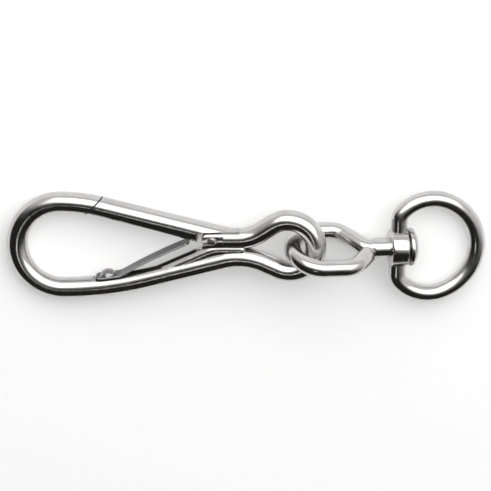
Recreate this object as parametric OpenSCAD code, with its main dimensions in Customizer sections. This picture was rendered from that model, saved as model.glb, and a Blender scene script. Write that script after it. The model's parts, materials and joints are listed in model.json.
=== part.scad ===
/* [Wire] */
// Diameter of the hook's wire
hook_wire_d = 5.3; // [4:0.1:7]
// Diameter of the link's wire
link_wire_d = 4.3; // [3:0.1:6]
// Diameter of the ring's bar
ring_bar_d = 4.2; // [3:0.1:6]

/* [Hook loop] */
// Bend radius of the hook's closed end, to the wire's centre
loop_r = 11.3; // [9:0.1:14]
// Distance from the eye's centre to the loop's centre
loop_to_eye = 56.5; // [50:0.5:65]
// Bend radius of the nose beside the loop
nose_bend_r = 40; // [30:1:60]
// Bend radius of the lower leg beside the loop
leg_bend_r = 84.8; // [60:1:120]
// Distance along the hook from the pin to the middle of the nose joint
nose_from_pin = 29.5; // [26:0.5:31]
// Angle of the scarfed nose joint
scarf_angle = 43; // [35:1:55]
// Gap at the nose joint with the gate shut
scarf_gap = 0.3; // [0.2:0.05:0.5]

/* [Hook eye] */
// Bend radius of the hook's eye, to the wire's centre
hook_eye_r = 6.7; // [6.2:0.1:8]
// Angle at which the leg enters the eye
eye_entry = 25; // [15:1:35]
// Angle at which the returning end leaves the eye
eye_exit = 32; // [25:1:40]
// Bend radius of the neck under the eye
neck_r = 15; // [10:0.5:18]
// Bend radius of the returning end
return_r = 10; // [6:0.5:12]

/* [Web] */
// Radius of the web between the fork and the lower leg
web_r = 2.05; // [1.9:0.05:2.2]
// Depth of the web's end under the eye's centre line
web_drop = 0.8; // [0.7:0.05:0.9]
// Distance from the pin to the web's end towards the eye
web_back = 8.4; // [8:0.1:8.8]
// Length of the web's end beside the fork
web_end = 6.2; // [6:0.1:6.4]
// Bend radius of the web
web_bend_r = 8; // [7:0.5:9]

/* [Gate hinge] */
// Distance from the eye's centre to the gate pin
pin_back = 19; // [17.5:0.1:21]
// Height of the pin above the eye's centre
pin_rise = 2; // [1.6:0.1:2.4]
// Diameter of the gate pin
pin_d = 2; // [1.6:0.1:2.4]
// Running clearance of the gate on its pin, on the radius
pin_fit = 0.05; // [0.03:0.01:0.08]
// Distance from the pin up to the gate's centre line
gate_offset = 1.08; // [0.8:0.02:1.3]
// Distance from the pin down to the lower leg's centre line
leg_offset = 6; // [5.8:0.1:6.8]
// Height of the fork's top above the pin
fork_top = 1.7; // [1.5:0.05:1.9]
// Distance from the pin to the fork's end face
fork_end = 2.42; // [2.2:0.02:2.8]
// Thickness of the gate's tongue
tongue_t = 1.8; // [1.4:0.1:2.2]
// Clearance beside and above the moving gate
gate_gap = 0.35; // [0.3:0.05:0.5]
// Opening angle of the gate
gate_open = 18; // [10:1:18]
// Shift of the fork's top from the gate tail's underside
tail_lift = 0.55; // [0.5:0.05:0.7]
// Distance from the pin to the shoulder behind the tail
shoulder = 7; // [6:0.1:7.5]
// Width of the slot from the pin to the end face
slot_w = 1.5; // [1.2:0.1:1.6]

/* [Spring] */
// Thickness of the leaf spring
leaf_t = 0.45; // [0.3:0.05:0.6]
// Width of the leaf spring
leaf_w = 4.8; // [4:0.1:5.2]
// Distance along the hook from the pin to the spring's rivet
rivet_from_pin = 26; // [24:0.5:27]
// Half length of the spring's foot
foot_half = 3.1; // [2.6:0.1:3.4]
// Depth of the flat filed for the foot
foot_flat = 0.35; // [0.2:0.05:0.5]
// Diameter of the spring's rivet
rivet_d = 2.2; // [1.8:0.1:2.6]
// Diameter of the rivet's head
rivet_head_d = 4.1; // [3.6:0.1:4.6]
// Height of the rivet's head
rivet_head_h = 1.5; // [1:0.1:1.8]
// Gap between the spring's tip and the gate
tip_gap = 0.3; // [0.2:0.05:0.5]

/* [Swivel link] */
// Bend radius of the link's eye, to the wire's centre
link_eye_r = 7; // [6.6:0.1:8]
// Distance between the hook's wire and the link's wire where they interlock
link_reach = 5.7; // [5.6:0.1:6.2]
// Diameter of the link's shank
shank_d = 5; // [4:0.1:6]
// Running clearance of the ring on the shank, on the radius
shank_fit = 0.05; // [0.03:0.01:0.1]
// Distance from the hook's wire to the start of the shank
shank_from = 14.2; // [13.8:0.1:16]
// Length of shank between the eye and the ring
shank_free = 4.4; // [4:0.1:7]
// Diameter of the shank's head
head_d = 9.6; // [8:0.1:10]
// Thickness of the shank's head
head_t = 2.1; // [1.5:0.1:3]
// Gap between the ring and the shank's head
head_gap = 0.3; // [0.3:0.05:0.6]
// Roll of the link from the plane of the hook
link_roll = 67; // [64:1:75]

/* [Swivel ring] */
// Length of the ring between the centres of its bars
ring_l = 20; // [18:0.5:26]
// Diameter of the bored boss
boss_d = 9.4; // [8.4:0.1:10]

/* [Rest] */
// Angle on the hook's eye, under its centre line, at which the link hangs
link_seat = 9; // [6:1:11]
// Tilt from overhead at which the assembly at rest looks straight
rest_view = 20; // [0:1:24]

/* [Hidden] */
$fn = 64;
wr = hook_wire_d / 2;
lr = link_wire_d / 2;
br = ring_bar_d / 2;
sr = shank_d / 2;
seam = 0.02;
inset = 0.1;
pin = [-pin_back, pin_rise];

// Loop, nose bend and leg bend: centres in the hook's plane, the eye's centre at the origin
loop_rise = 0.25;
loop_c = [-loop_to_eye, loop_rise];
nose_c = loop_c + [0, loop_r - nose_bend_r];
bend_c = loop_c + [0, leg_bend_r - loop_r];
gate_slope = tangent_under(nose_c, nose_bend_r, pin, gate_offset);
leg_slope = -tangent_under([bend_c[0], -bend_c[1]], leg_bend_r, [pin[0], -pin[1]], leg_offset);
nose_end = nose_c + nose_bend_r * [-sin(gate_slope), cos(gate_slope)];
leg_from = bend_c + leg_bend_r * [sin(leg_slope), -cos(leg_slope)];

// Neck, eye and returning end
eye_in = hook_eye_r * [-sin(eye_entry), -cos(eye_entry)];
neck_x = cross_x(leg_from, leg_slope, eye_in, -eye_entry);
neck_c = [neck_x, line_y(leg_from, leg_slope, neck_x)];
neck_t = neck_r * tan((leg_slope + eye_entry) / 2);
eye_out = hook_eye_r * [-sin(eye_exit), cos(eye_exit)];
turn_x = eye_out[0] - (eye_out[1] - pin[1]) / tan(eye_exit);
turn_t = return_r * tan(eye_exit / 2);

// Web: bent down beside the fork, then straight on to the lower leg's centre line
web_turn = 24;
web_from = [pin[0] + web_back, -web_drop];
web_bent = web_from - [web_end + web_bend_r * sin(web_turn), web_bend_r * (1 - cos(web_turn))];
web_over = (web_bent[1] - line_y(leg_from, leg_slope, web_bent[0])) * cos(leg_slope);
web_leg = web_over / sin(web_turn - leg_slope);

// Nose joint: a plane through the wire, the body's side up and to the left
scarf_x = pin[0] - nose_from_pin;
scarf_p = [scarf_x, nose_c[1] + sqrt(pow(nose_bend_r, 2) - pow(scarf_x - nose_c[0], 2))];

// Fork and the gate's tongue and tail
tongue_wall = 0.75;
tongue_r = pin_d / 2 + tongue_wall;
tongue_toe = [1.2, 1.25];
tongue_heel = [1.4, 0.8];
tongue_top = [1.9, 0.5];
tongue_root = 4;
tongue_rise = 0.4;
slot_under = 0.75;
slot_behind = 0.6;
slot_ahead = 4.5;
corner_r = 1.6;
cheek_flat = 0.25;
cheek_low = 1.9;
cheek_long = 5.4;
cheek_high = 4.1;
heel_gap = 1.38;
web_clear = 3.9;
web_under = 2.2;
pin_peen = [0.35, 0.3];

// Spring: foot on the lower leg, tip under the gate's heel
tip_ahead = 3.2;
seat_over = [0.6, 1.8];
foot_x = pin[0] - rivet_from_pin;
foot_tilt = asin((foot_x - bend_c[0]) / leg_bend_r);
foot_seat = leg_bend_r - wr + foot_flat;
leaf_from = bend_c + (foot_seat - leaf_t / 2) * [sin(foot_tilt), -cos(foot_tilt)]
  + foot_half * [cos(foot_tilt), sin(foot_tilt)];
tip_x = pin[0] - fork_end - tip_ahead;
tip_p = [tip_x, gate_low(tip_x) - tip_gap - leaf_t / 2];
leaf_dir = atan2(tip_p[1] - leaf_from[1], tip_p[0] - leaf_from[0]);
leaf_len = norm(tip_p - leaf_from);
leaf_bow = 4;
leaf_arc_r = leaf_len / (2 * sin(leaf_bow));

// Link: the hook's wire at the origin, the shank along X
side_turn = 48;
bend_out = 5.2;
bend_in = 3.2;
side_rise = link_eye_r - (bend_out + bend_in) * (1 - cos(side_turn));
side_run = side_rise / tan(side_turn);
side_flat = shank_from + link_reach - link_eye_r - (bend_out + bend_in) * sin(side_turn) - side_run;
boss_over = 0.15;
boss_edge = 0.6;
boss_h = br + boss_over;
root_in = 0.8;
root_edge = 0.2;
root_run = 0.4;
head_edge = 0.3;
head_rim = 0.9;
head_round = [1.3, 0.25];
head_flat = 2.6;
free_low = 0.4 * link_eye_r;
free_back = 1.8;
free_run = (link_eye_r - free_low - bend_out * (1 - cos(side_turn))) / sin(side_turn);
free_flat = shank_from - free_back + link_reach - link_eye_r - bend_out * sin(side_turn) - free_run * cos(side_turn);
ring_x = shank_from + shank_free + boss_h;
head_x = ring_x + boss_h + head_gap;

// Ring: three arcs a side, in proportion to its length
ring_a = 0.15 * ring_l;
ring_b = 0.505 * ring_l;
ring_c = (ring_l - (1 - sin(48)) * ring_a - (sin(48) + sin(20)) * ring_b) / (1 - sin(20));
ring_h = cos(20) * ring_c - (cos(20) - cos(48)) * ring_b - cos(48) * ring_a;

// Rest: the loop's end, the link's lower side and the ring's end on the floor
far_x = ring_x + ring_l;
link_pitch = settled(10);
link_z = lr + link_depth(link_pitch);
seat_p = hook_eye_r * [cos(link_seat), -sin(link_seat)];
hook_pitch = asin((link_z - wr) / (seat_p[0] + loop_to_eye + loop_r));
hook_roll = 0;
hook_yaw = asin(tan(rest_view) * tan(hook_pitch));
link_yaw = asin((-seat_p[1] / (ring_x + ring_l / 2) - sin(link_pitch) * tan(rest_view)) / cos(link_pitch));
left_x = -((seat_p[0] + loop_to_eye) * cos(hook_yaw) + loop_r) * cos(hook_pitch) - wr
  - (loop_c[1] - seat_p[1]) * sin(hook_yaw);
right_x = ((far_x - ring_c) * cos(link_yaw) + ring_c) * cos(link_pitch) + br;
wide_x = ring_x + (1 - sin(48)) * ring_a + sin(48) * ring_b;
joint_p = [-(left_x + right_x) / 2, -wide_x * cos(link_pitch) * sin(link_yaw), link_z];

// Slope of the line that lies on two circles from above, the second at p with radius q
function tangent_under(c, r, p, q) =
  atan2(p[1] - c[1], p[0] - c[0]) - asin((r - q) / norm(p - c));
function line_y(p, a, x) = p[1] + (x - p[0]) * tan(a);
function cross_x(p, a, q, b) = (q[1] - p[1] + p[0] * tan(a) - q[0] * tan(b)) / (tan(a) - tan(b));
// How far the link's lower side reaches under the joint at pitch p, and the pitch at which all three rest
function link_depth(p) = (link_eye_r - bend_out) * sin(link_roll) * cos(p)
  + (link_eye_r - link_reach + side_flat) * sin(p)
  + bend_out * norm([sin(link_roll) * cos(p), sin(p)]);
function settled(p, n = 8) = n == 0 ? p : settled(asin((lr + link_depth(p) - br) / far_x), n - 1);
function gate_low(x) = line_y(nose_end, gate_slope, x) - wr / cos(gate_slope);

// A path is a list of [radius, angle] bends, left positive, and [0, length] straights
function turn(s) = s[0] == 0 ? 0 : s[1];
function step_end(p, h, s) = s[0] == 0
  ? p + s[1] * [cos(h), sin(h)]
  : p + s[0] * [sin(h + s[1]) - sin(h), cos(h) - cos(h + s[1])];

// One bend or straight, its ends drawn back by a and b inside the joints beside it
module bar(s, r, a, b) {
  if (s[0] == 0)
    translate([a, 0, 0]) rotate([0, 90, 0]) cylinder(h = s[1] - a - b, r = r);
  else
    translate([0, s[0], 0])
      rotate([0, 0, s[0] > 0 ? deg(a, s) - 90 : 90 + s[1] + deg(b, s)])
        rotate_extrude(angle = abs(s[1]) - deg(a, s) - deg(b, s)) translate([abs(s[0]), 0]) circle(r);
}

function deg(l, s) = l / abs(s[0]) * 180 / PI;

module wire(path, r, p, h, i = 0) {
  if (i < len(path)) {
    translate([p[0], p[1], 0]) rotate([0, 0, h])
      bar(path[i], r, i > 0 ? inset : 0, i < len(path) - 1 ? inset : 0);
    if (i > 0) translate([p[0], p[1], 0]) rotate([0, 0, h]) rotate([0, 90, 0]) rotate([0, 0, 40]) sphere(r + seam);
    wire(path, r, step_end(p, h, path[i]), h + turn(path[i]), i + 1);
  }
}

module on_hook() {
  translate(joint_p) rotate([0, -hook_pitch, hook_yaw]) rotate([hook_roll, 0, 0]) translate([-seat_p[0], -seat_p[1], 0])
    children();
}

module on_link() {
  translate(joint_p) rotate([0, link_pitch, link_yaw]) children();
}

// Space on the body's side of the nose joint, moved along its normal by g
module nose_side(g) {
  translate([scarf_p[0], scarf_p[1], 0]) rotate([0, 0, scarf_angle]) translate([-40, g, -10]) cube([80, 40, 20]);
}

hook_path = [
  [nose_bend_r, -gate_slope],
  [loop_r, 180],
  [leg_bend_r, leg_slope],
  [0, norm(neck_c - leg_from) - neck_t],
  [-neck_r, -leg_slope - eye_entry],
  [0, norm(eye_in - neck_c) - neck_t],
  [hook_eye_r, 180 + eye_entry + eye_exit],
  [0, norm(eye_out - [turn_x, pin[1]]) - turn_t],
  [-return_r, -eye_exit],
  [0, turn_x - turn_t - pin[0] + fork_end]
];

// Web between the fork and the lower leg
web_path = [[0, web_end], [web_bend_r, web_turn], [0, web_leg]];

module fork_cuts() {
  top = pin[1] + fork_top;
  left = pin[0] - fork_end;
  // Notch for the gate's tail
  translate([left - 5, top, -10]) cube([5 + fork_end + shoulder, 10, 20]);
  // Rounded corner
  difference() {
    translate([left - 1, top - corner_r, -10]) cube([1 + corner_r, 1 + corner_r, 20]);
    translate([left + corner_r, top - corner_r, -11]) cylinder(h = 22, r = corner_r + 0.05);
  }
  // Flats beside the pin
  for (s = [-1, 1]) translate([left - 1, pin[1] - cheek_low, s * (wr - cheek_flat + 5) - 5])
    cube([1 + cheek_long, cheek_low + cheek_high, 10]);
  // Pin hole and the slot to the end face
  translate([pin[0], pin[1], -10]) cylinder(h = 20, d = pin_d);
  translate([pin[0], pin[1], 0]) rotate([0, 0, 14]) translate([-4, -slot_w / 2, -10]) cube([4, slot_w, 20]);
  // Slot for the gate's tongue
  translate([left - slot_ahead, pin[1] - tongue_r - slot_under, -tongue_t / 2 - gate_gap])
    cube([slot_ahead + fork_end + tongue_r + slot_behind, 12, tongue_t + 2 * gate_gap]);
}

module hook_body() {
  color([0.80, 0.81, 0.83]) on_hook() difference() {
    union() {
      difference() {
        wire(hook_path, wr, nose_end, 180 + gate_slope);
        gate_side();
      }
      difference() {
        wire(web_path, web_r, web_from, 180);
        translate([pin[0] - web_clear, pin[1] - web_under, -10]) cube([web_clear - fork_end, 10, 20]);
      }
    }
    fork_cuts();
    // Seat and hole of the spring's foot
    translate([bend_c[0], bend_c[1], 0]) rotate([0, 0, foot_tilt]) {
      translate([-foot_half - seat_over[0], -foot_seat - seam / 2, -10])
        cube([2 * foot_half + seat_over[0] + seat_over[1], 6, 20]);
      rotate([90, 0, 0]) translate([0, 0, foot_seat - 3]) cylinder(h = 15, d = rivet_d);
    }
  }
}

// Space on the gate's side of the nose joint, kept near the nose
module gate_side() {
  translate([scarf_p[0], scarf_p[1], 0]) rotate([0, 0, scarf_angle]) translate([-12, -12, -10]) cube([24, 12, 20]);
}

module gate() {
  top = pin[1] + fork_top + tail_lift;
  face = pin[0] - fork_end - heel_gap;
  tail_x = pin[0] + shoulder - gate_gap;
  root = [pin[0] + 5, line_y(nose_end, gate_slope, pin[0] + 5)];
  path = [[0, norm(root - nose_end)], [nose_bend_r, asin((nose_end[0] - scarf_x + 6) / nose_bend_r)]];
  color([0.78, 0.79, 0.81]) on_hook() difference() {
    union() {
      difference() {
        wire(path, wr, root, 180 + gate_slope);
        nose_side(-scarf_gap);
        translate([face, top - 10, -10]) cube([20, 10, 20]);
      }
      // Tail, level with the wire behind it
      difference() {
        translate([pin[0] - 2, pin[1], 0]) rotate([0, 90, 0]) cylinder(h = tail_x - pin[0] + 2, r = wr);
        translate([pin[0] - 10, top - 10, -10]) cube([20, 10, 20]);
      }
      translate([0, 0, -tongue_t / 2]) linear_extrude(tongue_t) {
        translate(pin) circle(tongue_r);
        polygon([
          [face - tongue_root, pin[1] + tongue_rise],
          pin - tongue_toe,
          pin + tongue_heel,
          pin + [tongue_top[0], fork_top + tail_lift + tongue_top[1]],
          [face - tongue_root, top + 1]
        ]);
      }
    }
    translate([pin[0], pin[1], -10]) cylinder(h = 20, d = pin_d + 2 * pin_fit);
  }
}

module gate_pin() {
  half = wr - cheek_flat;
  color([0.70, 0.71, 0.73]) on_hook() translate([pin[0], pin[1], 0]) rotate_extrude()
    polygon([
      [0, -half - pin_peen[1]], [pin_d / 2 - pin_peen[0], -half - pin_peen[1]], [pin_d / 2, -half],
      [pin_d / 2, half], [pin_d / 2 - pin_peen[0], half + pin_peen[1]], [0, half + pin_peen[1]]
    ]);
}

module leaf_spring() {
  color([0.62, 0.64, 0.68]) on_hook() difference() {
    union() {
      // Foot
      translate([bend_c[0], bend_c[1], 0]) rotate([0, 0, foot_tilt])
        translate([-foot_half, -foot_seat, -leaf_w / 2]) cube([2 * foot_half, leaf_t, leaf_w]);
      translate([leaf_from[0], leaf_from[1], -leaf_w / 2]) {
        cylinder(h = leaf_w, d = leaf_t + seam);
        // Bowed leaf
        rotate([0, 0, leaf_dir + leaf_bow]) translate([0, -leaf_arc_r, 0]) rotate([0, 0, 90 - 2 * leaf_bow])
          rotate_extrude(angle = 2 * leaf_bow) translate([leaf_arc_r - leaf_t / 2, 0]) square([leaf_t, leaf_w]);
      }
    }
    translate([bend_c[0], bend_c[1], 0]) rotate([90, 0, foot_tilt]) translate([0, 0, foot_seat - 3])
      cylinder(h = 15, d = rivet_d);
  }
}

module spring_rivet() {
  // Turned about the rivet's axis: dome on the foot, peened end flush under the leg
  dome_r = (pow(rivet_head_d / 2, 2) + pow(rivet_head_h, 2)) / (2 * rivet_head_h);
  seat = foot_seat - leaf_t;
  color([0.66, 0.67, 0.70]) on_hook()
    translate([bend_c[0], bend_c[1], 0]) rotate([0, 0, foot_tilt]) rotate([90, 0, 0]) {
      translate([0, 0, seat - 0.2]) cylinder(h = leg_bend_r + wr - 0.1 - seat + 0.2, d = rivet_d);
      difference() {
        translate([0, 0, seat + dome_r - rivet_head_h]) sphere(dome_r);
        translate([0, 0, seat + 10]) cube(20, center = true);
      }
    }
}

module swivel_link() {
  // From the shank's root round the eye to the free end
  path = [
    [-bend_in, -side_turn],
    [0, side_run / cos(side_turn)],
    [bend_out, side_turn],
    [0, side_flat],
    [link_eye_r, 180],
    [0, free_flat],
    [bend_out, side_turn],
    [0, free_run]
  ];
  head = head_x - shank_from;
  color([0.80, 0.81, 0.83]) on_link() {
    rotate([-link_roll, 0, 0]) {
      wire(path, lr, [shank_from, 0], 180);
      translate([shank_from - free_back, -free_low, 0]) sphere(lr + seam);
    }
    translate([shank_from, 0, 0]) rotate([0, 90, 0]) rotate_extrude() polygon([
      [0, -root_in], [lr - root_edge, -root_in], [sr, root_run], [sr, head + root_edge],
      [head_d / 2 - head_edge, head], [head_d / 2, head + head_edge], [head_d / 2, head + head_rim],
      [head_d / 2 - head_round[0], head + head_t - head_round[1]], [head_d / 2 - head_flat, head + head_t],
      [0, head + head_t]
    ]);
  }
}

module swivel_ring() {
  half = [[0, ring_h - 1], [-ring_a, -42], [-ring_b, -68], [-ring_c, -70]];
  color([0.80, 0.81, 0.83]) on_link() translate([ring_x, 0, 0]) difference() {
    union() {
      wire(half, br, [0, 1], 90);
      mirror([0, 1, 0]) wire(half, br, [0, 1], 90);
      translate([ring_l, 0, 0]) rotate([90, 0, 0]) sphere(br + seam);
      rotate([0, 90, 0]) rotate_extrude() polygon([
        [0, -boss_h], [boss_d / 2 - boss_edge, -boss_h], [boss_d / 2, boss_edge - boss_h],
        [boss_d / 2, boss_h - boss_edge], [boss_d / 2 - boss_edge, boss_h], [0, boss_h]
      ]);
    }
    rotate([0, 90, 0]) cylinder(h = ring_bar_d + 10, r = sr + shank_fit, center = true);
  }
}

hook_body();
gate();
gate_pin();
leaf_spring();
spring_rivet();
swivel_link();
swivel_ring();
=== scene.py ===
"""Dresses the swivel snap hook: bent wire hook, sprung gate, interlocked link and swivel ring."""

from __future__ import annotations

import json
import logging
import math
from abc import ABC, abstractmethod
from collections.abc import Callable, Iterable, Sequence
from dataclasses import dataclass
from enum import Enum
from functools import cached_property
from itertools import product

import bmesh
import bpy
import numpy as np
from mathutils import Matrix, Vector
from mathutils.kdtree import KDTree

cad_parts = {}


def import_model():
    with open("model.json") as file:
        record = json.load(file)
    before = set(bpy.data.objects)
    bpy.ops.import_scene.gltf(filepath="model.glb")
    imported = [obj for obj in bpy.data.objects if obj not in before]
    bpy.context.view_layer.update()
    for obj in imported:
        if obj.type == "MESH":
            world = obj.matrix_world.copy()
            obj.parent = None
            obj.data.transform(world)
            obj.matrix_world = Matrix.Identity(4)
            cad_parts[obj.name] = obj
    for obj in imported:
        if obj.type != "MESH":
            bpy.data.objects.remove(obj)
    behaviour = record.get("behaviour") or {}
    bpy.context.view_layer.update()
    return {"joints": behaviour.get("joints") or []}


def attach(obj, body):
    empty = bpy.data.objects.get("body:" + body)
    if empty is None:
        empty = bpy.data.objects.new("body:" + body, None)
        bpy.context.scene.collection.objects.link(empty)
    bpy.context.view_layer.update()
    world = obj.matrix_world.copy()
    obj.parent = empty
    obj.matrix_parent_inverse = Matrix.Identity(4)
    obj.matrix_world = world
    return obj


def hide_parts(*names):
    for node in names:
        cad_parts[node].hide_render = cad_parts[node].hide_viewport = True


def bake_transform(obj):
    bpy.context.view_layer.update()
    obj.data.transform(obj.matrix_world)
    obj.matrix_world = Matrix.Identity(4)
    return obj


log = logging.getLogger("snap_hook")

Pair = tuple[float, float]
Triple = tuple[float, float, float]

MM = 0.001
GRAIN = "grain"
# Attribute that marks the cut joint faces which get painted shade
JOINT_SHADE = "bare"
SWELL = "swell"
EVEN: Triple = (1.0, 1.0, 1.0)
WHITE: Triple = (1.0, 1.0, 1.0)
# Reach of a cutter past what it cuts, and distance under which two points are one, in mm
CLEAR = 10.0
WELD = 1e-5
# Share of a unit normal from which a face counts as facing straight on
FACING = 0.99
# Points round a wire, distance between the rows that carry the grain, and angle of a crisp edge
WIRE_SIDES = 64
GRAIN_PITCH = 0.25
CRISP = 32.0


# ---------------------------------------------------------------- node trees


class Sock:
    """An output socket whose operators add Math nodes to its tree."""

    def __init__(self, nodes: "Nodes", socket: bpy.types.NodeSocket) -> None:
        """Wraps one socket of a tree."""
        self.nodes = nodes
        self.socket = socket

    def math(self, operation: str, a: "Value", b: "Value" = 0.0) -> "Sock":
        """Adds one Math node on two values or links."""
        return self.nodes.node("ShaderNodeMath", {"operation": operation}, {0: a, 1: b})

    def __add__(self, other: "Value") -> "Sock":
        """Sum."""
        return self.math("ADD", self, other)

    def __radd__(self, other: float) -> "Sock":
        """Sum, reflected."""
        return self.math("ADD", other, self)

    def __sub__(self, other: "Value") -> "Sock":
        """Difference."""
        return self.math("SUBTRACT", self, other)

    def __rsub__(self, other: float) -> "Sock":
        """Difference, reflected."""
        return self.math("SUBTRACT", other, self)

    def __mul__(self, other: "Value") -> "Sock":
        """Product."""
        return self.math("MULTIPLY", self, other)

    def __rmul__(self, other: float) -> "Sock":
        """Product, reflected."""
        return self.math("MULTIPLY", other, self)

    def step(self, low: float, high: float) -> "Sock":
        """Smooth step of this value from 0 at low to 1 at high."""
        smooth = {"interpolation_type": "SMOOTHSTEP"}
        return self.nodes.node("ShaderNodeMapRange", smooth, {0: self, 1: low, 2: high, 3: 0.0, 4: 1.0})


Value = Sock | float
Inputs = dict[int | str, object]


@dataclass(frozen=True)
class Pattern:
    """A noise pattern: stretch, features for each mm, finer layers, their strength, and where it sets in."""

    stretch: Triple = EVEN
    scale: float = 1.0
    detail: float = 2.0
    rough: float = 0.5
    sets_in: Pair | None = None


class Nodes:
    """Builds a node tree through one method."""

    def __init__(self, tree: bpy.types.NodeTree) -> None:
        """Empties the tree that it is to fill."""
        self.tree = tree
        tree.nodes.clear()

    def node(
        self,
        kind: str,
        settings: dict[str, object] | None = None,
        inputs: Inputs | None = None,
        output: int | str = 0,
    ) -> Sock:
        """Adds a node.

        Args:
            kind: The node's type.
            settings: Its properties, set first.
            inputs: A value or a link for each socket, by name or number.
            output: The output to hand back.

        Returns:
            The chosen output, or the node's first input where it has no output.
        """
        made = self.tree.nodes.new(kind)
        for name, value in (settings or {}).items():
            setattr(made, name, value)
        for name, value in (inputs or {}).items():
            socket = made.inputs[name]
            if isinstance(value, Sock):
                self.tree.links.new(value.socket, socket)
            elif isinstance(value, tuple) and socket.type == "RGBA" and len(value) == 3:
                socket.default_value = (*value, 1.0)
            else:
                socket.default_value = value
        return Sock(self, made.outputs[output] if len(made.outputs) else made.inputs[0])

    def beside(self, sock: Sock, output: str) -> Sock:
        """Another output of the node that a socket belongs to."""
        return Sock(self, sock.socket.node.outputs[output])

    def mix(self, factor: Value, a: object, b: object) -> Sock:
        """Mixes two colours, the factor being the share of the second."""
        return self.node("ShaderNodeMix", {"data_type": "RGBA"}, {0: factor, 6: a, 7: b}, 2)

    def scaled(self, vector: Sock, by: Triple) -> Sock:
        """A vector with each of its parts multiplied."""
        return self.node("ShaderNodeVectorMath", {"operation": "MULTIPLY"}, {0: vector, 1: by})

    def place(self) -> Sock:
        """Where a point lies on its piece, in mm."""
        return self.scaled(self.node("ShaderNodeTexCoord", output="Object"), (1 / MM, 1 / MM, 1 / MM))

    def attribute(self, name: str, output: str) -> Sock:
        """One of the mesh's own attributes."""
        return self.node("ShaderNodeAttribute", {"attribute_name": name}, output=output)

    def pattern(self, at: Sock, kind: Pattern) -> Sock:
        """Reads a noise pattern.

        Args:
            at: Where it is read, in mm.
            kind: The pattern.

        Returns:
            Its value, from 0 to 1.
        """
        if kind.stretch != EVEN:
            at = self.scaled(at, kind.stretch)
        sizes = {"Vector": at, "Scale": kind.scale, "Detail": kind.detail, "Roughness": kind.rough}
        value = self.node("ShaderNodeTexNoise", {}, sizes)
        return value.step(*kind.sets_in) if kind.sets_in else value


# ---------------------------------------------------------------- finishes


@dataclass(frozen=True)
class Finish(ABC):
    """A material made by one shader."""

    name: str

    @abstractmethod
    def inputs(self, n: Nodes) -> Inputs:
        """What goes into the shader's sockets.

        Args:
            n: The material's tree.

        Returns:
            A value or a link for each socket.
        """

    def make(self) -> bpy.types.Material:
        """Makes the material.

        Returns:
            The finish, ready to put on.
        """
        material = bpy.data.materials.new(self.name)
        material.use_nodes = True
        n = Nodes(material.node_tree)
        shader = n.node("ShaderNodeBsdfPrincipled", {}, self.inputs(n))
        n.node("ShaderNodeOutputMaterial", {}, {"Surface": shader})
        return material


@dataclass(frozen=True)
class Plating(Finish):
    """Bright nickel over drawn steel wire, with faint drawing lines, cloud and handling marks, and painted
    shade darkening its tight corners and the cut faces of its joints.
    """

    bright: Triple = (0.60, 0.592, 0.578)
    smoky: Triple = (0.36, 0.352, 0.342)
    # Near-black tone of the painted shade in tight corners and on the cut faces of the joints
    shade_tone: Triple = (0.055, 0.052, 0.049)
    lines: Pattern = Pattern((0.035, 1.0, 1.0), 3.1, 3.0, 0.6)
    cloud: Pattern = Pattern(EVEN, 0.22, 3.0, 0.55, (0.42, 0.72))
    rub: Pattern = Pattern((0.5, 1.4, 1.0), 1.3, 5.0, 0.7, (0.5, 0.8))
    specks: Pattern = Pattern(EVEN, 4.5, 2.0, 0.5, (0.66, 0.78))
    waves: Pattern = Pattern(EVEN, 0.33, 1.0)
    line_high: float = 0.005
    wave_high: float = 0.030
    speck_deep: float = 0.002
    dull_by: Triple = (0.5, 0.3, 0.2)
    smoke: float = 0.6
    # Painted shade: reach of the occlusion that darkens tight corners, where it sets in, its patchiness and
    # its strength
    shade_reach: float = 1.1
    shade_from: Pair = (0.35, 0.95)
    patchy: float = 0.4
    shade_strength: float = 0.85
    gloss: float = 0.13
    spread: float = 0.17
    rough_by: Triple = (0.06, 0.25, 0.3)
    edge: float = 0.16

    def inputs(self, n: Nodes) -> Inputs:
        """The plating, its grain along the wire, with painted shade darkening its tight corners and the cut
        faces of its joints.

        Args:
            n: The material's tree.

        Returns:
            A value or a link for each socket.
        """
        place, grain = n.place(), n.attribute(GRAIN, "Vector")
        lines, cloud = n.pattern(grain, self.lines), n.pattern(place, self.cloud)
        rub, specks = n.pattern(place, self.rub), n.pattern(place, self.specks)
        reach = {"Distance": self.shade_reach * MM}
        # Painted shade: ambient occlusion darkens tight corners, made patchy by the rub pattern
        near = n.node("ShaderNodeAmbientOcclusion", {"samples": 6, "only_local": True}, reach, "AO")
        # Painted shade: the cut faces in the nose joint, the slot and the shoulder are darkened
        shaded_joint = n.attribute(JOINT_SHADE, "Fac")
        corner_shade = (1.0 - near.step(*self.shade_from)) * (self.patchy * rub + (1 - self.patchy))
        dull = self.dull_by[0] * cloud + self.dull_by[1] * rub + self.dull_by[2] * specks
        edge = n.node("ShaderNodeBevel", {"samples": 4}, {"Radius": self.edge * MM})
        waves = n.pattern(place, self.waves)
        height = self.line_high * lines + self.wave_high * waves - self.speck_deep * specks
        worn = n.mix(self.smoke * dull, self.bright, self.smoky)
        by_lines, by_corner_shade, by_saw = self.rough_by
        rough = self.gloss + self.spread * dull + by_lines * lines + by_corner_shade * corner_shade + by_saw * shaded_joint
        return {
            # Painted shade: the cut joint faces and the occluded corners are mixed toward the near-black tone
            "Base Color": n.mix(shaded_joint.math("MAXIMUM", shaded_joint, self.shade_strength * corner_shade), worn, self.shade_tone),
            "Metallic": 1.0,
            "Roughness": rough,
            "Normal": n.node("ShaderNodeBump", {}, {"Distance": MM, "Height": height, "Normal": edge}),
        }


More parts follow.
